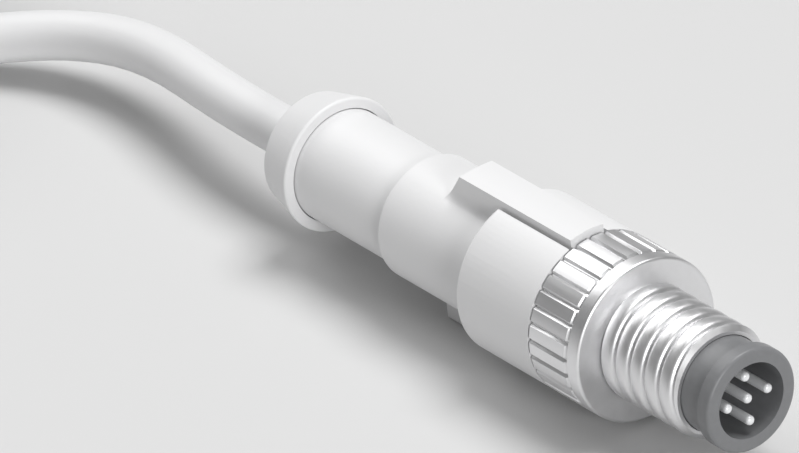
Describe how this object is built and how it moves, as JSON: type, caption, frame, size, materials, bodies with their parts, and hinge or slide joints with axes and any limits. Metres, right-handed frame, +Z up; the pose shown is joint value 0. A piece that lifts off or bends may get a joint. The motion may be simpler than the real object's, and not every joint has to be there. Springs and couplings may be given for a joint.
{
  "type": "circular sensor connector with cable",
  "caption": "Moulded male circular sensor connector with a turning threaded coupling, ribbed grip, round cable and a free end with bared wires.",
  "frame": {"origin": "on the floor under the middle of the connector, its cable left out", "axes": "+X along the connector's axis towards the mating end, +Z up, with one grip rib on top and the other on the floor"},
  "size_m": [0.233, 0.0468, 0.026],
  "materials": {
    "grip_plastic": "fine satin moulding",
    "carrier_plastic": "dark grey moulding",
    "premould_plastic": "plain moulding",
    "nickel_plate": "satin nickel plate on brass",
    "contact_metal": "smooth plated contact",
    "tinned_copper": "tinned strands",
    "cable_jacket": "smooth matt jacket",
    "strap_plastic": "satin strap",
    "core_brown": "smooth insulation",
    "core_white": "smooth insulation",
    "core_blue": "smooth insulation",
    "core_black": "smooth insulation",
    "core_grey": "smooth insulation"
  },
  "bodies": {
    "root": {"contact_carrier": "carrier_plastic", "grip_sleeve": "grip_plastic", "grip_body": "grip_plastic", "inner_premould": "premould_plastic", "rear_collar": "grip_plastic", "cable": "cable_jacket", "cable_hank": "cable_jacket", "cable_tail": "cable_jacket", "cable_tie": "strap_plastic", "contact_pin_1": "contact_metal", "contact_pin_2": "contact_metal", "contact_pin_3": "contact_metal", "contact_pin_4": "contact_metal", "contact_pin_5": "contact_metal", "core_brown": "core_brown", "conductor_brown": "tinned_copper", "lead_brown": "core_brown", "lead_tip_brown": "tinned_copper", "core_white": "core_white", "conductor_white": "tinned_copper", "lead_white": "core_white", "lead_tip_white": "tinned_copper", "core_blue": "core_blue", "conductor_blue": "tinned_copper", "lead_blue": "core_blue", "lead_tip_blue": "tinned_copper", "core_black": "core_black", "conductor_black": "tinned_copper", "lead_black": "core_black", "lead_tip_black": "tinned_copper", "core_grey": "core_grey", "conductor_grey": "tinned_copper", "lead_grey": "core_grey", "lead_tip_grey": "tinned_copper"},
    "coupling": {"coupling_screw": "nickel_plate"}
  },
  "joints": [
    {"name": "coupling_turn", "type": "hinge", "parent": "root", "child": "coupling", "pos_m": [0, 0, 0.0093], "axis": [1, 0, 0], "continuous": true}
  ]
}
